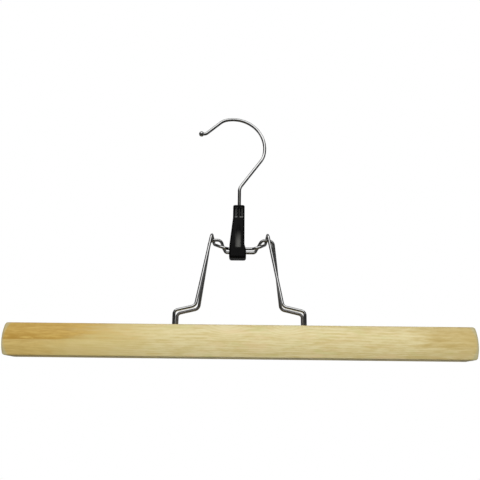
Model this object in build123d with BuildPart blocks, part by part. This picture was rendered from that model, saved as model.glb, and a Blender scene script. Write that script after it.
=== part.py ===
from build123d import *
import os
from math import cos, radians, sin

# Trouser hanger. Two wooden jaws stand on bent wire frames. The frames turn in a plastic
# lever that hangs on a swivel hook. Tipping the hook and lever forward opens the jaws.
# Millimetres. The origin is the rail seat, the highest point inside the hook.
# X runs along the bars, Y from the front jaw to the back jaw, and Z is up.

# Layout
rail_to_bars = 189.3        # rail seat down to the flat tops of the bars
seat_to_middle = 8.2        # sideways from the rail seat to the middle of the bars
stem_offset = -1.4          # the stem and lever sit this far off the bars' middle

# Wooden bars
bar_length = 380.0
bar_height = 26.0
bar_thickness = 14.9        # jaw face to the crest of the rounded face
bar_top_width = 10.9        # flat top, before its edge is rounded
bar_bottom_width = 9.9
bar_crest_drop = 14.6       # crest of the rounded face below the top
bar_edge_round = 2.2
bar_end_round = 2.4

# Grip strips glued to the jaw faces
strip_thickness = 1.0
strip_height = 20.0
strip_length = 374.0
jaw_gap = 0.2               # between the two strips when the hanger is shut

# Bent wire frames
frame_wire = 2.6            # diameter
front_foot_spacing = 107.0
back_foot_spacing = 106.2
foot_setback = 9.0          # feet to the plane between the jaws
foot_depth = 12.0           # how far a foot is pressed into its bar
foot_press = 0.03           # radial interference of a foot in its hole
foot_bend_height = 11.4     # above the bar tops, as are the heights that follow
front_shoulder_height = 15.5
back_shoulder_height = 15.7
upper_pivot_height = 66.7
front_shoulder_half = 36.0  # from the middle, as are the half widths that follow
back_shoulder_half = 35.0
crown_half = 24.1
limb_half = 27.3
crown_rise = 12.3           # above the upper pivot
limb_rise = 7.5
crown_play = 1.05           # room beside the other frame's wire inside the crown
pivot_pitch = 3.6           # between the two straight handles in the lever
front_sway = -0.6           # sideways set of the front frame's crowns
back_sway = 0.8
front_shoulder_sway = -0.3
back_shoulder_sway = -0.1
foot_bend = 3.5             # bend radii of the centre line
shoulder_bend = 4.5
limb_bend = 4.0
limb_corner_bend = 4.5
crown_foot_bend = 2.2
small_bend = 2.5

# Lever
lever_foot_drop = 9.4       # below the upper pivot
lever_height = 48.2
lever_shoulder_drop = 11.4  # from the top down to where the taper starts
lever_block_height = 7.7    # the wide block that the frames turn in
lever_waist_height = 12.4   # above the foot, where the block has drawn in
lever_top_width = 10.1
lever_neck_width = 10.2
lever_waist_width = 12.9
lever_block_width = 14.5
lever_foot_width = 14.6
neck_offset = -0.25         # sideways set of the neck from the stem, and so on down
waist_offset = -1.5
block_offset = -0.9
lever_top_depth = 9.0
lever_block_depth = 12.0
lever_corner_round = 2.0
lever_top_round = 0.9
lever_foot_round = 1.9
lever_side_play = 1.3       # from the lever's flank to the frames' first bend
pivot_clearance = 0.05      # radial, wire in its cross bore
window_width = 6.9
window_height = 9.1
window_roof = 1.3
window_back_wall = 1.8
sill_thickness = 2.2        # the wall that hangs on the hook's head
sill_edge_round = 0.8
sill_slot = 1.4             # narrow slot from the front into the sill's bore
head_pocket_height = 3.6    # below the sill, open at the back
head_pocket_wall = 1.2
scoop_width = 5.4           # across its lower end, where it is deepest
scoop_depth = 1.0
scoop_foot_height = 9.5     # above the foot
scoop_height = 24.0
scoop_offset = -0.75        # sideways from the stem

# Swivel hook
hook_wire = 2.9             # diameter
hook_radius = 29.3          # centre line of the main arc
hook_shoulder_radius = 16.7
hook_nose_radius = 14.0
hook_tip_radius = 4.0
hook_stem_bend = 9.0
hook_arm_length = 15.4
hook_neck_length = 2.6
hook_ball = 4.9             # diameter
hook_right_turn = 102.0     # degrees of the main arc to the right of the crest
hook_left_turn = 10.0
hook_slant = 35.9           # of the long straight, off the vertical
hook_arm_slope = 41.0       # of the short straight, below the horizontal
stem_clearance = 0.05       # radial, stem in the lever
head_diameter = 5.4
head_height = 1.6
washer_diameter = 5.8
washer_thickness = 0.5
head_end_float = 0.05

# Places that follow from the sizes above
middle_x = seat_to_middle
bar_top_z = -rail_to_bars
stem_x = middle_x + stem_offset
wire_radius = frame_wire / 2
jaw_face = jaw_gap / 2 + strip_thickness
upper_pivot_z = bar_top_z + upper_pivot_height
lower_pivot_z = upper_pivot_z - pivot_pitch
lever_foot_z = upper_pivot_z - lever_foot_drop
lever_top_z = lever_foot_z + lever_height
window_top_z = lever_top_z - window_roof
window_sill_z = window_top_z - window_height
pocket_top_z = window_sill_z - sill_thickness
cut_overrun = frame_wire

FRONT, BACK = -1, 1


def wooden_bar(side, foot_spacing):
    """One half-round jaw bar with two blind holes for the feet of its frame."""
    inner = side * jaw_face
    crest = inner + side * bar_thickness
    top_edge = inner + side * bar_top_width
    bottom_edge = inner + side * bar_bottom_width
    bottom_z = bar_top_z - bar_height
    with BuildPart() as bar:
        with BuildSketch(Plane.YZ.offset(middle_x)):
            with BuildLine():
                Line((inner, bottom_z), (inner, bar_top_z))
                Line((inner, bar_top_z), (top_edge, bar_top_z))
                ThreePointArc(
                    (top_edge, bar_top_z),
                    (crest, bar_top_z - bar_crest_drop),
                    (bottom_edge, bottom_z),
                )
                Line((bottom_edge, bottom_z), (inner, bottom_z))
            make_face()
        extrude(amount=bar_length / 2, both=True)
        long_edges = bar.edges().filter_by(Axis.X).sort_by(lambda edge: side * edge.center().Y)
        fillet(long_edges[-2:], bar_edge_round)
        ends = bar.faces().filter_by(Axis.X)
        rims = [e for e in ends.edges() if side * e.center().Y > jaw_face + jaw_gap]
        fillet(rims, bar_end_round)
        with Locations(Plane.XY.offset(bar_top_z)):
            with Locations((middle_x, side * foot_setback)):
                with GridLocations(foot_spacing, 0, 2, 1):
                    Hole(wire_radius - foot_press, depth=foot_depth + foot_press)
    return bar


def grip_strip(side):
    """The thin strip glued to one jaw face, centred on the bar's height."""
    with BuildPart() as strip:
        with BuildSketch(Plane.XZ.offset(-side * jaw_gap / 2)):
            with Locations((middle_x, bar_top_z - bar_height / 2)):
                Rectangle(strip_length, strip_height)
        extrude(amount=-side * strip_thickness)
    return strip


def frame_route(feet, outer, inner, sways):
    """The bends of one frame from its left foot to its right foot."""
    swayed_right = [(x + sway, y, z) for (x, y, z), sway in zip(outer, sways)]
    swayed_left = [(-x + sway, y, z) for (x, y, z), sway in zip(outer, sways)]
    right = feet + swayed_right + inner
    left = [(-x, y, z) for x, y, z in feet] + swayed_left + [(-x, y, z) for x, y, z in inner]
    bends = left + right[::-1]
    return [(middle_x + x, y, bar_top_z + z) for x, y, z in bends]


def wire_frame(route, radii):
    """Round wire bent at each point of the route."""
    with BuildPart() as frame:
        with BuildLine() as centre_line:
            FilletPolyline(*route, radius=radii + radii[::-1])
        with BuildSketch(Plane.XY.offset(route[0][2])):
            with Locations(route[0][:2]):
                Circle(wire_radius)
        sweep(path=centre_line.wires()[0])
    return frame


# The frames cross beside the lever, each clear of the other, and the crown of the front
# frame straddles the limb of the back one. Bends near the handles are given in shares of
# the wire's diameter: out from the end of the handle, back, and up from the upper pivot.
handle_half = lever_foot_width / 2 - block_offset - stem_offset + lever_side_play
front_bend_shares = [(2.4, -0.75, 0.45), (0.85, -0.85, 0)]
back_bend_shares = [(1.4, 0.95, 0.3)]
crown_foot_in_share = 0.7       # the crown's inner leg leans in as it comes down
crown_foot_up_share = 1.8
limb_end_share = 2.6
back_handle_share = 0.6


def beside_lever(share):
    """One bend between the lever and the crown."""
    out, back, up = share
    return (
        handle_half + out * frame_wire,
        back * frame_wire,
        upper_pivot_height + up * frame_wire,
    )


crown_radius = frame_wire + crown_play
crown_height = upper_pivot_height + crown_rise
crown_foot_half = crown_half - crown_foot_in_share * frame_wire
crown_foot_height = upper_pivot_height + crown_foot_up_share * frame_wire
limb_height = upper_pivot_height + limb_rise
limb_end_half = handle_half + limb_end_share * frame_wire
back_handle_half = handle_half + back_handle_share * frame_wire
front_foot_half = front_foot_spacing / 2
back_foot_half = back_foot_spacing / 2

front_feet = [
    (front_foot_half, -foot_setback, -foot_depth),
    (front_foot_half, -foot_setback, foot_bend_height),
]
front_outer = [
    (front_shoulder_half, -foot_setback, front_shoulder_height),
    (crown_half, -crown_radius, crown_height),
    (crown_half, crown_radius, crown_height),
    (crown_foot_half, crown_radius, crown_foot_height),
]
front_sways = [front_shoulder_sway, front_sway, front_sway, front_sway]
front_inner = [beside_lever(share) for share in front_bend_shares]
front_inner += [(handle_half, 0, upper_pivot_height)]
front_radii = [foot_bend, shoulder_bend, crown_radius, crown_radius]
front_radii += [crown_foot_bend, small_bend, small_bend, small_bend]

back_feet = [
    (back_foot_half, foot_setback, -foot_depth),
    (back_foot_half, foot_setback, foot_bend_height),
]
back_outer = [
    (back_shoulder_half, foot_setback, back_shoulder_height),
    (limb_half, 0, limb_height),
    (limb_end_half, 0, limb_height),
]
back_sways = [back_shoulder_sway, back_sway, back_sway]
back_inner = [beside_lever(share) for share in back_bend_shares]
back_inner += [(back_handle_half, 0, upper_pivot_height - pivot_pitch)]
back_radii = [foot_bend, shoulder_bend, limb_corner_bend, limb_bend, small_bend, small_bend]

front_bar = wooden_bar(FRONT, front_foot_spacing)
back_bar = wooden_bar(BACK, back_foot_spacing)
front_strip = grip_strip(FRONT)
back_strip = grip_strip(BACK)
front_frame = wire_frame(
    frame_route(front_feet, front_outer, front_inner, front_sways), front_radii
)
back_frame = wire_frame(frame_route(back_feet, back_outer, back_inner, back_sways), back_radii)

# Lever: a moulded block, wide where the frames turn and slimmer towards the swivel
neck_x = stem_x + neck_offset
waist_x = stem_x + waist_offset
block_x = stem_x + block_offset
waist_z = lever_foot_z + lever_waist_height
neck_z = lever_top_z - lever_shoulder_drop
lever_sections = [
    (lever_foot_z, block_x, lever_foot_width, lever_block_depth),
    (lever_foot_z + lever_block_height, block_x, lever_block_width, lever_block_depth),
    (waist_z, waist_x, lever_waist_width, lever_block_depth),
    (neck_z, neck_x, lever_neck_width, lever_top_depth),
    (lever_top_z, neck_x, lever_top_width, lever_top_depth),
]
with BuildPart() as lever:
    for height, centre, width, depth in lever_sections:
        with BuildSketch(Plane.XY.offset(height)):
            with Locations((centre, 0)):
                RectangleRounded(width, depth, lever_corner_round)
    loft(ruled=True)
    fillet(lever.faces().sort_by(Axis.Z)[0].edges(), lever_foot_round)
    fillet(lever.faces().sort_by(Axis.Z)[-1].edges(), lever_top_round)
    # Window at the front, through which the stem shows
    with BuildSketch(Plane.XZ.offset(lever_top_depth / 2 + cut_overrun)):
        with Locations((neck_x, window_sill_z + window_height / 2)):
            Rectangle(window_width, window_height)
    extrude(amount=window_back_wall - lever_top_depth - cut_overrun, mode=Mode.SUBTRACT)
    # The sill's front edge, rounded
    sill_front = -lever_top_depth / 2
    with BuildSketch(Plane.YZ.offset(neck_x)):
        with Locations((sill_front, window_sill_z)):
            Rectangle(2 * sill_edge_round, 2 * sill_edge_round)
        with Locations((sill_front + sill_edge_round, window_sill_z - sill_edge_round)):
            Circle(sill_edge_round, mode=Mode.SUBTRACT)
    extrude(amount=window_width / 2, both=True, mode=Mode.SUBTRACT)
    # Slot from the front into the sill's bore
    with BuildSketch(Plane.XZ.offset(lever_top_depth / 2 + cut_overrun)):
        with Locations((stem_x, pocket_top_z + sill_thickness / 2)):
            Rectangle(sill_slot, sill_thickness)
    extrude(amount=-lever_top_depth / 2 - cut_overrun, mode=Mode.SUBTRACT)
    # Pocket at the back, below the sill, where the hook's head is formed
    with BuildSketch(Plane.XZ.offset(-lever_top_depth / 2 - cut_overrun)):
        with Locations((stem_x, pocket_top_z - head_pocket_height / 2)):
            Rectangle(window_width, head_pocket_height)
    extrude(amount=lever_top_depth + cut_overrun - head_pocket_wall, mode=Mode.SUBTRACT)
    # Bore for the stem, through the window's roof and sill
    with Locations((stem_x, 0, lever_top_z)):
        Hole(
            hook_wire / 2 + stem_clearance,
            depth=lever_top_z - pocket_top_z + head_pocket_height / 2,
        )
    # Cross bores for the two handles
    with BuildSketch(Plane.YZ.offset(stem_x)):
        with Locations((0, upper_pivot_z), (0, lower_pivot_z)):
            Circle(wire_radius + pivot_clearance)
    extrude(amount=lever_foot_width, both=True, mode=Mode.SUBTRACT)
    # Thumb scoop down the sloping front, ending in a ledge on the block
    scoop_radius = (scoop_width**2 / 4 + scoop_depth**2) / (2 * scoop_depth)
    scoop_foot_z = lever_foot_z + scoop_foot_height
    front_slope = (lever_block_depth - lever_top_depth) / 2 / (neck_z - waist_z)
    front_setback = front_slope * (scoop_foot_z + scoop_height - waist_z)
    scoop_plane = Plane(
        origin=(
            stem_x + scoop_offset,
            scoop_depth - scoop_radius - lever_block_depth / 2,
            scoop_foot_z,
        ),
        z_dir=(neck_offset - scoop_offset, front_setback - scoop_depth, scoop_height),
    )
    with BuildSketch(scoop_plane):
        Circle(scoop_radius)
    extrude(amount=scoop_height, mode=Mode.SUBTRACT)

# Hook: one wire from the headed stem to the ball at the tip
head_top_z = pocket_top_z - washer_thickness - head_end_float
with BuildPart() as hook:
    with BuildLine(Plane.XZ) as hook_route:
        crest = (0, hook_wire / 2)
        nose_side = JernArc(crest, (-1, 0), hook_radius, hook_left_turn)
        nose = JernArc(
            nose_side @ 1, nose_side % 1, hook_nose_radius, hook_arm_slope - hook_left_turn
        )
        arm = Line(nose @ 1, nose @ 1 + hook_arm_length * (nose % 1))
        flare = JernArc(arm @ 1, arm % 1, hook_tip_radius, -hook_arm_slope)
        neck = Line(flare @ 1, flare @ 1 + hook_neck_length * (flare % 1))
        main_side = JernArc(crest, (1, 0), hook_radius, -hook_right_turn)
        shoulder_turn = 90 + hook_slant - hook_right_turn
        shoulder = JernArc(main_side @ 1, main_side % 1, hook_shoulder_radius, -shoulder_turn)
        bend_reach = hook_stem_bend * (1 - cos(radians(hook_slant)))
        slant_reach = (shoulder @ 1).X - stem_x - bend_reach
        slant_length = slant_reach / sin(radians(hook_slant))
        slant = Line(shoulder @ 1, shoulder @ 1 + slant_length * (shoulder % 1))
        stem_bend = JernArc(slant @ 1, slant % 1, hook_stem_bend, hook_slant)
        stem = Line(stem_bend @ 1, (stem_x, head_top_z))
    with BuildSketch(Plane(origin=stem @ 1, z_dir=(0, 0, 1))):
        Circle(hook_wire / 2)
    sweep(path=hook_route.wires()[0])
    with Locations(neck @ 1):
        Sphere(hook_ball / 2)
    with BuildSketch(Plane.XY.offset(head_top_z)):
        with Locations((stem_x, 0)):
            Circle(head_diameter / 2)
    extrude(amount=-head_height)

# Washer between the head and the sill of the window
with BuildPart() as swivel_washer:
    with BuildSketch(Plane.XY.offset(pocket_top_z)):
        with Locations((stem_x, 0)):
            Circle(washer_diameter / 2)
            Circle(hook_wire / 2 + 2 * stem_clearance, mode=Mode.SUBTRACT)
    extrude(amount=-washer_thickness)

pieces = {
    "front_bar": front_bar,
    "back_bar": back_bar,
    "front_grip_strip": front_strip,
    "back_grip_strip": back_strip,
    "front_frame": front_frame,
    "back_frame": back_frame,
    "lever": lever,
    "hook": hook,
    "swivel_washer": swivel_washer,
}
os.makedirs("parts", exist_ok=True)
for name, piece in pieces.items():
    piece.part.label = name
    export_step(piece.part, "parts/" + name + ".step")
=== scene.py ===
from math import cos, radians, sin

import bmesh
import bpy
from mathutils import Matrix, Vector


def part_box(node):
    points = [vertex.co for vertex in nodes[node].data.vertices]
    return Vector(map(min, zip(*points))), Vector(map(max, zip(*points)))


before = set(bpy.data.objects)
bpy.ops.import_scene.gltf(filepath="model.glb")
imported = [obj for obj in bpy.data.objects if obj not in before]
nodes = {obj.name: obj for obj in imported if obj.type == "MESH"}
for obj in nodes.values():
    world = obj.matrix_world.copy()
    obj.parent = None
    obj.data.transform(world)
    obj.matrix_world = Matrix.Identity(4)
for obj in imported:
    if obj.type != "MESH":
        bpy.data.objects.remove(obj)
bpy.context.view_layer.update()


# Front bar: a half-round jaw of pale close-grained wood, sawn so that its rings run out along the face,
# sanded, eased at both ends and given one thin coat of clear lacquer. Its left end was cut from darker
# wood near the heart. The wire feet are pressed into its top edge.
class Shade:
    """A value, colour or vector in one node tree. Arithmetic on it adds Math nodes."""

    def __init__(self, tree, socket=None):
        self.tree, self.socket = tree, socket

    def node(self, kind, settings=None, sockets=None, output=None):
        """Adds any node: its settings first, then the values or links of its sockets."""
        made = self.tree.nodes.new("ShaderNode" + kind)
        for name, value in (settings or {}).items():
            setattr(made, name, value)
        for name, value in (sockets or {}).items():
            if isinstance(name, int):
                port = made.inputs[name]
            else:
                port = next(one for one in made.inputs if one.enabled and one.name == name)
            if isinstance(value, Shade):
                self.tree.links.new(value.socket, port)
            elif port.type == "RGBA":
                port.default_value = (*value, 1)
            else:
                port.default_value = value
        open_ports = [one for one in made.outputs if one.enabled and output in (None, one.name)]
        return Shade(self.tree, open_ports[0])

    def outlets(self, *names):
        """Several outputs of the node that this shade comes from."""
        return [Shade(self.tree, self.socket.node.outputs[name]) for name in names]

    def maths(self, operation, first, second=0.0):
        return self.node("Math", {"operation": operation}, {0: first, 1: second})

    def __add__(self, other):
        return self.maths("ADD", self, other)

    def __radd__(self, other):
        return self.maths("ADD", other, self)

    def __sub__(self, other):
        return self.maths("SUBTRACT", self, other)

    def __rsub__(self, other):
        return self.maths("SUBTRACT", other, self)

    def __mul__(self, other):
        return self.maths("MULTIPLY", self, other)

    def __rmul__(self, other):
        return self.maths("MULTIPLY", other, self)

    def root(self):
        return self.maths("SQRT", self)

    def size(self):
        return self.maths("ABSOLUTE", self)

    def fraction(self):
        return self.maths("FRACT", self)

    def rise(self, low, high):
        """0 below low, 1 above high, and smooth between them; low above high turns it round."""
        return self.node("MapRange", {"interpolation_type": "SMOOTHSTEP"},
                         {"Value": self, "From Min": low, "From Max": high}, "Result")

    def stretched(self, along, across, up, turn=(0, 0, 0), shift=(0, 0, 0)):
        return self.node("Mapping", {}, {"Vector": self, "Location": shift, "Rotation": turn,
                                         "Scale": (along, across, up)})

    def noise(self, scale=1.0, detail=2.0, roughness=0.5, distortion=0.0):
        return self.node("TexNoise", {}, {"Vector": self, "Scale": scale, "Detail": detail,
                                          "Roughness": roughness, "Distortion": distortion})

    def blend(self, first, second):
        """A colour: first where this mask is 0 and second where it is 1."""
        return self.node("Mix", {"data_type": "RGBA"}, {"Factor": self, "A": first, "B": second})


class Finish:
    """A new material. Values that are the same all over are set on the shader's own sockets."""

    def __init__(self, name, **fixed):
        self.material = bpy.data.materials.new(name)
        self.material.use_nodes = True
        self.tree = self.material.node_tree
        self.shader = self.tree.nodes["Principled BSDF"]
        self.place = Shade(self.tree).node("TexCoord", {}, {}, "Object")
        for name, value in fixed.items():
            self.shader.inputs[name.replace("_", " ")].default_value = value

    def axes(self):
        return self.place.node("SeparateXYZ", {}, {"Vector": self.place}).outlets("X", "Y", "Z")

    def feed(self, socket, shade):
        self.tree.links.new(shade.socket, self.shader.inputs[socket])

    def relief(self, height, depth, strength):
        """Feeds the shader a Bump of this height; depth is in metres."""
        bump = height.node("Bump", {}, {"Height": height, "Distance": depth, "Strength": strength})
        self.feed("Normal", bump)


def dress(name, finish):
    for slot in nodes[name].material_slots:
        slot.material = finish.material


bar_low, bar_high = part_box("front_bar")
left_end, right_end = bar_low[0], bar_high[0]
bar_foot, bar_top = bar_low[2], bar_high[2]
bar_middle = (left_end + right_end) / 2
bar_half = (right_end - left_end) / 2
bar_centre = (bar_foot + bar_top) / 2

sapwood = (0.690, 0.602, 0.330)
latewood = (0.560, 0.450, 0.185)
pale_figure = (0.800, 0.700, 0.440)
pink_cast = (0.680, 0.510, 0.270)
green_cast = (0.545, 0.530, 0.220)
golden = (0.585, 0.455, 0.165)
heart_light = (0.555, 0.370, 0.088)
heart_dark = (0.415, 0.243, 0.036)
heart_streak = (0.400, 0.230, 0.036)
border_light = (0.605, 0.442, 0.146)
border_dark = (0.480, 0.318, 0.084)
brown_light = (0.565, 0.440, 0.178)
brown_dark = (0.455, 0.328, 0.104)
end_rim_grey = (0.440, 0.430, 0.270)
pore = (0.36, 0.26, 0.11)

rings_per_metre = 640
hidden_knots = ((bar_middle - 0.0102, 0.020), (bar_middle + 0.0378, 0.018))
knot_foot, knot_crown = bar_top - 0.0147, bar_top - 0.0037
golden_from, golden_full = left_end + 0.1598, left_end + 0.0718
heart_from, heart_full = left_end + 0.1138, left_end + 0.0498
border_from, border_full = left_end + 0.0768, left_end + 0.0168
streak_from, streak_full = left_end + 0.0568, left_end + 0.0168
heart_line = bar_top - 0.0137
brown_from, brown_full = right_end - 0.0802, right_end - 0.0162
brown_foot, brown_crown = bar_top - 0.0197, bar_top - 0.0147
eased_from, eased_full = bar_half - 0.0032, bar_half - 0.0008
rim_curve = 19


def bar_wood(name, pith, lean, seed, heart_end):
    """Lacquered wood whose rings are centred on the pith (y, z); lean tilts the trunk along the bar."""
    finish = Finish(name, IOR=1.48)
    place = finish.place
    x, y, z = finish.axes()
    wander = place.stretched(14, 70, 70, shift=(seed, seed, 0)).noise(1, 3, 0.55) - 0.5
    drift = place.stretched(5, 6, 6, shift=(0, seed, seed)).noise(1, 2, 0.5) - 0.5
    fibre = place.stretched(95, 640, 640).noise(1, 5, 0.66)
    streaks = place.stretched(32, 330, 330, shift=(0, 0, seed)).noise(1, 3, 0.6)
    pores = place.stretched(150, 2600, 2600, shift=(seed, 0, 0)).noise(1, 3, 0.6)
    pink = place.stretched(45, 130, 130, shift=(0, 0, seed)).noise(1, 3, 0.5, 0.6)
    green = place.stretched(38, 110, 110, shift=(5, seed, 0)).noise(1, 3, 0.5, 0.6)

    # The rings bow upwards over two knots that lie hidden inside the wood.
    bow = 0.0
    for knot, reach in hidden_knots:
        near_knot = (x - knot + seed * 0.01).size().rise(reach, 0.0)
        bow = near_knot * z.rise(knot_foot, knot_crown) + bow
    across = y - pith[0] + x * lean[0]
    up = z - pith[1] + x * lean[1] + wander * 0.0022 + drift * 0.004 + bow * 0.0036
    ring = ((across * across + up * up).root() * rings_per_metre).fraction()
    late = ring.rise(0.20, 0.93) * ring.rise(1.0, 0.95)

    grain = late * 0.30 + (fibre - 0.5) * 1.9 + (streaks - 0.5) * 1.5 + 0.34
    colour = grain.rise(0.0, 1.0).blend(sapwood, latewood)
    colour = (bow * fibre.rise(0.40, 0.62) * 0.55).blend(colour, pale_figure)
    colour = (pink.rise(0.50, 0.70) * 0.42).blend(colour, pink_cast)
    colour = (green.rise(0.50, 0.70) * 0.42).blend(colour, green_cast)
    colour = ((x + drift * 0.06).rise(golden_from, golden_full) * 0.66).blend(colour, golden)

    # The heart fills the upper half of the left end. A dark streak lies along its lower edge, and the
    # right end is a little browner than the middle.
    if heart_end:
        heart_grain = ((fibre - 0.5) * 1.9 + (streaks - 0.5) * 1.6 + 0.5).rise(0.0, 1.0)
        border = (x + (pink - 0.5) * 0.08).rise(border_from, border_full)
        colour = (border * 0.82).blend(colour, heart_grain.blend(border_light, border_dark))
        ragged = x + (streaks - 0.5) * 0.12 + (green - 0.5) * 0.06 + (fibre - 0.5) * 0.08
        line = z - heart_line + wander * 0.0030
        heart = ragged.rise(heart_from, heart_full) * line.rise(-0.0004, 0.0006)
        colour = (heart * 0.95).blend(colour, heart_grain.blend(heart_light, heart_dark))
        streak = line.rise(0.0030, 0.0010) * line.rise(-0.0008, 0.0002)
        streak = streak * (x + (fibre - 0.5) * 0.10).rise(streak_from, streak_full)
        colour = (streak * fibre.rise(0.34, 0.52) * 0.95).blend(colour, heart_streak)
        ragged = x + (streaks - 0.5) * 0.12 + (green - 0.5) * 0.04
        brown = ragged.rise(brown_from, brown_full) * (z.rise(brown_foot, brown_crown) * 0.55 + 0.40)
        colour = brown.blend(colour, heart_grain.blend(brown_light, brown_dark))

    # The eased rim of each end, which lies further in towards its corners, is darker, greyer and
    # rougher.
    height = z - bar_centre
    rim = ((x - bar_middle).size() + height * height * rim_curve).rise(eased_from, eased_full)
    colour = (rim * 0.55).blend(colour, end_rim_grey)
    colour = (pores.rise(0.60, 0.80) * 0.22).blend(colour, pore)
    finish.feed("Base Color", colour)
    finish.feed("Roughness", 0.40 + fibre * 0.16 + rim * 0.12)
    finish.relief(fibre * 0.7 + pores * 0.3 - late * 0.25, 0.00008, 0.6)
    return finish


dress("front_bar", bar_wood("front bar wood", (0.030, -0.250), (-0.010, 0.016), 0.0, True))


# Back bar: the front bar's twin, from another length of the same wood with no dark heart in it. It
# stands on the back frame's feet, with its flat jaw face turned to the front bar's.
dress("back_bar", bar_wood("back bar wood", (-0.034, -0.243), (0.012, 0.010), 3.7, False))


# Grip strips: thin pressed felt, brown-grey, glued along the flat jaw face of each bar so that cloth
# doesn't slip. Short fibres lie every way and leave a mottled, woolly face.
dark_hair = (0.20, 0.165, 0.105)
pale_hair = (0.44, 0.38, 0.27)
worn_patch = (0.30, 0.25, 0.17)


def grip_felt(name, seed):
    finish = Finish(name, IOR=1.45, Sheen_Weight=0.35, Sheen_Roughness=0.55)
    hairs = finish.place.stretched(900, 900, 900, shift=(seed, 0, 0)).noise(1, 5, 0.7, 2.2)
    patches = finish.place.stretched(60, 60, 60, shift=(0, seed, 0)).noise(1, 3, 0.5)
    colour = hairs.rise(0.3, 0.7).blend(dark_hair, pale_hair)
    colour = (patches.rise(0.4, 0.7) * 0.4).blend(colour, worn_patch)
    finish.feed("Base Color", colour)
    finish.feed("Roughness", 0.86 + hairs * 0.12)
    finish.relief(hairs, 0.00035, 0.8)
    return finish


dress("front_grip_strip", grip_felt("front felt", 0.0))
dress("back_grip_strip", grip_felt("back felt", 2.3))


# Wire frames: two lengths of spring wire, bent cold, tumbled and chromed. The front one's plating is
# bright, with the faint waviness of drawn wire under it, and painted darker just above where its feet
# enter the wood, a painted shade. The back one is duller all over, and painted darker from its
# shoulders down, a painted shade for the front frame close in front of it.
# Near black for the hook's stem inside the lever: a painted shade of the lever's window.
window_shade = (0.020, 0.020, 0.018)
window_shade_run = 0.0012


def chrome(name, tone, polish, dim_from, dim_full, dim_tone, shade_from=None):
    """Plated wire: darker and rougher below one height, and, where a second height is given, painted
    near black below it, a painted shade.
    """
    finish = Finish(name, Metallic=1.0)
    x, y, z = finish.axes()
    ripple = finish.place.noise(420, 2, 0.5)
    haze = finish.place.noise(160, 3, 0.6)
    specks = finish.place.noise(3200, 2, 0.6)
    # Below this height the plating is darker and rougher; on the frames the darker colour is painted
    # shade.
    dimmed = z.rise(dim_from, dim_full)
    colour = haze.rise(0.35, 0.75).blend(tone, tuple(value * 0.93 for value in tone))
    colour = (specks.rise(0.70, 0.82) * 0.35).blend(colour, tuple(value * 0.5 for value in tone))
    colour = (dimmed * 0.9).blend(colour, dim_tone)
    if shade_from:
        # Painted shade: below this height the stem is painted near black.
        colour = (z.rise(shade_from, shade_from - window_shade_run) * 0.9).blend(colour, window_shade)
    finish.feed("Base Color", colour)
    finish.feed("Roughness", polish + haze * 0.06 + dimmed * 0.16)
    finish.relief(ripple * 0.8 + specks * 0.2, 0.00002, 0.5)
    return finish


# Painted shade on the front frame just above where its feet enter the wood.
foot_shade = (bar_top + 0.0030, bar_top + 0.0002, (0.28, 0.28, 0.27))
# Painted shade on the back frame from its shoulders down, standing in for the front frame close in front
# of it.
shoulder_shade = (bar_top + 0.0240, bar_top + 0.0170, (0.24, 0.23, 0.23))
dress("front_frame", chrome("front frame chrome", (0.60, 0.60, 0.595), 0.05, *foot_shade))
dress("back_frame", chrome("back frame chrome", (0.42, 0.42, 0.41), 0.26, *shoulder_shade))


# Lever: one moulding of black plastic, half gloss, with the fine satin of the mould on it. The thumb
# scoop in its front is rubbed smooth by use, and a painted highlight greys it towards its foot. The
# inside of the window near its top is painted paler, a painted light, and the sill's rounded front edge
# carries a painted highlight on both sides of its slot.
lever_low, lever_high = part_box("lever")
washer_low, washer_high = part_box("swivel_washer")
lever_foot, lever_top = lever_low[2], lever_high[2]
stem_x = (washer_low[0] + washer_high[0]) / 2
sill_top = lever_top - 0.0104
scoop_foot = lever_foot + 0.0095
scoop_x = stem_x - 0.0007
rub_and_highlight_x = stem_x + 0.0006
window_x = stem_x - 0.0002
slot_x = stem_x - 0.0008

plastic_black = (0.0018, 0.0018, 0.0018)
plastic_flow = (0.0036, 0.0036, 0.0035)
# The three greys below are painted light: a highlight in the scoop, light inside the window and a glint
# on the sill.
painted_scoop_highlight = (0.105, 0.105, 0.098)
painted_window_light = (0.110, 0.110, 0.105)
painted_sill_highlight = (0.145, 0.145, 0.140)


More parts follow.
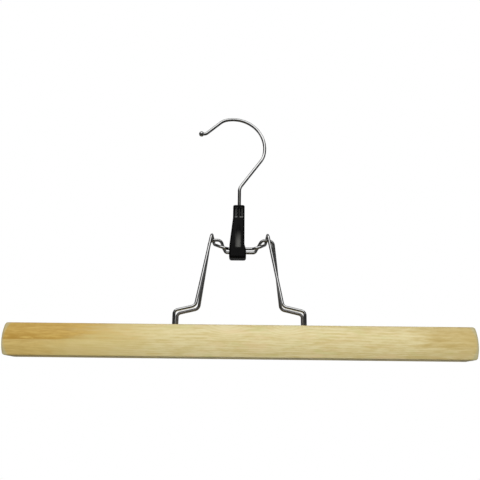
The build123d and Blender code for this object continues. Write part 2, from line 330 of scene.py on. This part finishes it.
def lever_plastic():
    finish = Finish("lever plastic", IOR=1.47, Specular_IOR_Level=0.1)
    place = finish.place
    x, y, z = finish.axes()
    satin = place.noise(2600, 3, 0.6)
    flow = place.stretched(60, 60, 260).noise(1, 3, 0.5)
    scratches = place.stretched(2400, 2400, 160, turn=(0, 0.35, 0)).noise(1, 2, 0.6)

    scoop = (x - scoop_x).size().rise(0.0030, 0.0018) * y.rise(0, -0.003)
    scoop = scoop * z.rise(scoop_foot - 0.0007, scoop_foot + 0.0007)
    # Painted highlight in the scoop, strongest near its foot and right of its middle; the same mask
    # makes the scoop smoother.
    rub_and_highlight = scoop * z.rise(scoop_foot + 0.0165, scoop_foot + 0.0035)
    rub_and_highlight = rub_and_highlight * ((x - rub_and_highlight_x).size().rise(0.0046, 0.0004) * 0.75 + 0.25)
    beside_stem = (x - window_x).size()
    # Painted light: the inside of the window is painted paler.
    window_light = beside_stem.rise(0.0035, 0.0033) * y.rise(-0.0035, -0.0010)
    window_light = window_light * z.rise(sill_top - 0.0002, sill_top)
    # Painted highlight on the sill's front edge, on both sides of its slot.
    sill_highlight = z.rise(sill_top - 0.0016, sill_top - 0.0011) * z.rise(sill_top + 0.0004, sill_top + 0.0001)
    sill_highlight = sill_highlight * beside_stem.rise(0.0037, 0.0031) * (x - slot_x).size().rise(0.0003, 0.0011)
    sill_highlight = sill_highlight * y.rise(-0.0035, -0.0038)

    marks = flow.rise(0.35, 0.7) * 0.5 + scratches.rise(0.66, 0.8) * 0.5
    colour = marks.blend(plastic_black, plastic_flow)
    colour = (rub_and_highlight * 0.95).blend(colour, painted_scoop_highlight)
    colour = (window_light * 0.9).blend(colour, painted_window_light)
    colour = (sill_highlight * 0.9).blend(colour, painted_sill_highlight)
    finish.feed("Base Color", colour)
    finish.feed("Roughness", 0.36 + satin * 0.10 + scratches.rise(0.62, 0.8) * 0.05 - rub_and_highlight * 0.12)
    finish.relief(satin * 0.6 + scratches * 0.4, 0.00003, 0.5)
    return finish


dress("lever", lever_plastic())


# Hook: heavier wire than the frames, bent round a mandrel, its tip upset to a ball so that it can't
# scratch a rail, then chromed as bright as the front frame. Its stem is dull above the lever, and
# painted near black inside it, a painted shade of the lever's window.
stem_dull = (lever_top + 0.0183, lever_top + 0.0128, (0.075, 0.075, 0.065))
# Top of the painted shade on the stem, just above the lever's top.
stem_shade_top = lever_top + 0.0004
dress("hook", chrome("hook chrome", (0.62, 0.62, 0.615), 0.05, *stem_dull, stem_shade_top))


# Swivel washer: stamped from steel sheet and left bare. It lies between the hook's head and the sill,
# and turning has left rings of fine scratches on it.
steel_dark = (0.30, 0.30, 0.29)
steel_pale = (0.56, 0.56, 0.55)


def turned_steel():
    finish = Finish("washer steel", Metallic=1.0)
    x, y, z = finish.axes()
    out = x - stem_x
    radius = (out * out + y * y).root()
    rings = radius.node("TexNoise", {"noise_dimensions": "1D"}, {"W": radius * 9000, "Detail": 3.0})
    grime = finish.place.noise(700, 3, 0.6)
    finish.feed("Base Color", (rings * 0.6 + grime * 0.4).rise(0.2, 0.8).blend(steel_dark, steel_pale))
    finish.feed("Roughness", 0.26 + rings * 0.2)
    finish.relief(rings, 0.00002, 0.6)
    return finish


dress("swivel_washer", turned_steel())


# Floor and room: a pale floor well below the hanger that runs out to plain white, and a white room.
# Camera, glossy and transmission rays see them white. Other rays find a darker floor and a dimmer
# room, which keeps the undersides of the bars in shade.
def sight(tree):
    """1 for the rays that see the background: camera, glossy and transmission rays."""
    path = Shade(tree).node("LightPath")
    camera_ray, glossy_ray, through_ray = path.outlets(
        "Is Camera Ray", "Is Glossy Ray", "Is Transmission Ray")
    total = camera_ray + glossy_ray + through_ray
    return total.maths("MINIMUM", total, 1.0)


def panel(name, corners, material):
    """A flat four-sided stage piece."""
    made = bmesh.new()
    made.faces.new([made.verts.new(corner) for corner in corners])
    mesh = bpy.data.meshes.new(name)
    made.to_mesh(mesh)
    made.free()
    mesh.materials.append(material)
    piece = bpy.data.objects.new(name, mesh)
    bpy.context.scene.collection.objects.link(piece)
    return piece


floor_drop = -1.30
floor_half = 30
white_from, white_full = 0.9, 1.7
shaded_floor = (0.20, 0.20, 0.19)
room_light = 0.30

floor_material = bpy.data.materials.new("pale floor")
floor_material.use_nodes = True
floor_tree = floor_material.node_tree
floor_tree.nodes.clear()
place = Shade(floor_tree).node("TexCoord", {}, {}, "Object")
far = place.node("VectorMath", {"operation": "LENGTH"}, {0: place}, "Value").rise(white_from, white_full)
near_floor = place.node("BsdfDiffuse", {}, {"Color": (0.86, 0.86, 0.86)})
far_floor = place.node("Emission", {}, {"Color": (1, 1, 1), "Strength": 1.0})
room_floor = place.node("BsdfDiffuse", {}, {"Color": shaded_floor})
shown = place.node("MixShader", {}, {0: 0.7 + far * 0.3, 1: near_floor, 2: far_floor})
whole = place.node("MixShader", {}, {0: sight(floor_tree), 1: room_floor, 2: shown})
floor_out = floor_tree.nodes.new("ShaderNodeOutputMaterial")
floor_tree.links.new(whole.socket, floor_out.inputs["Surface"])
floor_corners = [(-floor_half, -floor_half, floor_drop), (floor_half, -floor_half, floor_drop),
                 (floor_half, floor_half, floor_drop), (-floor_half, floor_half, floor_drop)]
panel("floor", floor_corners, floor_material)

world = bpy.data.worlds.new("room")
bpy.context.scene.world = world
world.use_nodes = True
background = world.node_tree.nodes["Background"]
background.inputs["Color"].default_value = (1, 1, 1, 1)
room_strength = room_light + sight(world.node_tree) * (1 - room_light)
world.node_tree.links.new(room_strength.socket, background.inputs["Strength"])


# Light: a softbox overhead and a wide fill in front and behind, none of which the gloss shows. Only
# the gloss shows the cards around the hanger. A bright window ahead and a lamp above draw the light
# lines on the wire, and black cards beside and below draw its dark ones.
hanger_middle = Vector((0.008, 0, -0.18))
for name, stand, size, watts in (("softbox", (0.05, -0.30, 1.10), (1.6, 1.2), 9.0),
                                 ("front_fill", (0.10, -1.85, -0.60), (2.4, 0.9), 35.0),
                                 ("back_fill", (-0.10, 1.85, 0.05), (2.4, 0.9), 26.0)):
    light = bpy.data.lights.new(name, "AREA")
    light.shape = "RECTANGLE"
    light.size, light.size_y = size
    light.energy = watts
    lamp = bpy.data.objects.new(name, light)
    lamp.location = stand
    lamp.rotation_euler = (hanger_middle - lamp.location).to_track_quat("-Z", "Y").to_euler()
    lamp.visible_glossy = False
    bpy.context.scene.collection.objects.link(lamp)


def card_face(name, glow):
    finish = Finish(name, Roughness=1.0, Specular_IOR_Level=0.0, Base_Color=(0, 0, 0, 1))
    finish.shader.inputs["Emission Color"].default_value = (1, 1, 1, 1)
    finish.shader.inputs["Emission Strength"].default_value = glow
    return finish.material


black, dark = card_face("black card", 0.04), card_face("dark card", 0.10)
grey, pale = card_face("grey card", 0.20), card_face("pale card", 0.50)
window, lamp_face = card_face("window card", 1.4), card_face("lamp card", 1.7)
side, front, back = 2.6, -2.36, 2.4
below, above = -0.60, 1.12
ledge = 0.15
window_foot, window_left, window_right = 0.47, -1.1, 1.5
lamp_half, lamp_back = 1.1, -0.70
near, far_back = -1.2, 1.2
for name, face, low, high in (
        ("card_ahead_low", black, (-side, front, below), (side, front, window_foot)),
        ("card_ahead_left", black, (-side, front, window_foot), (window_left, front, above)),
        ("card_ahead_right", black, (window_right, front, window_foot), (side, front, above)),
        ("card_window", window, (window_left, front, window_foot), (window_right, front, above)),
        ("card_left_low", grey, (-side, front, below), (-side, back, ledge)),
        ("card_left", black, (-side, front, ledge), (-side, back, above)),
        ("card_right_low", grey, (side, front, below), (side, back, ledge)),
        ("card_right", black, (side, front, ledge), (side, back, above)),
        ("card_behind_low", grey, (-side, back, below), (side, back, ledge)),
        ("card_behind", grey, (-side, back, ledge), (side, back, above)),
        ("card_below_ahead", dark, (-side, front, below), (side, near, below)),
        ("card_below", black, (-side, near, below), (side, far_back, below)),
        ("card_below_back", pale, (-side, far_back, below), (side, back, below)),
        ("card_over_left", black, (-side, front, above), (-lamp_half, back, above)),
        ("card_over_right", black, (lamp_half, front, above), (side, back, above)),
        ("card_lamp", lamp_face, (-lamp_half, front, above), (lamp_half, lamp_back, above)),
        ("card_over", grey, (-lamp_half, lamp_back, above), (lamp_half, far_back, above)),
        ("card_over_back", window, (-lamp_half, far_back, above), (lamp_half, back, above))):
    first_axis = 1 if low[0] == high[0] else 0
    turn_low, turn_high = Vector(low), Vector(high)
    turn_low[first_axis], turn_high[first_axis] = high[first_axis], low[first_axis]
    card = panel(name, [low, turn_low, high, turn_high], face)
    card.visible_camera = card.visible_diffuse = card.visible_shadow = card.visible_transmission = False


# Camera: a little below the bars and looking up by 16 degrees, from where the photograph was taken.
# Its place, angles and focal length come from fitting the hanger's own lines to the photograph.
picture_width = 480
focal_length = 540.8057     # in the picture's pixels
film_width = 36
eye = (0.0123152, -0.450, -0.2465741)
yaw, pitch, roll = radians(-0.5721), radians(16.3357), radians(0.6966)

ahead = Vector((sin(yaw) * cos(pitch), cos(yaw) * cos(pitch), sin(pitch)))
right = Vector((cos(yaw), -sin(yaw), 0))
up = right.cross(ahead)
lens = bpy.data.cameras.new("camera")
lens.sensor_width = film_width
lens.lens = film_width * focal_length / picture_width
lens.clip_start, lens.clip_end = 0.01, 100
camera = bpy.data.objects.new("camera", lens)
turn = Matrix((right * cos(roll) + up * sin(roll), up * cos(roll) - right * sin(roll), -ahead))
camera.matrix_world = Matrix.Translation(eye) @ turn.transposed().to_4x4()
bpy.context.scene.collection.objects.link(camera)
bpy.context.scene.camera = camera
bpy.context.scene.view_settings.view_transform = "Standard"
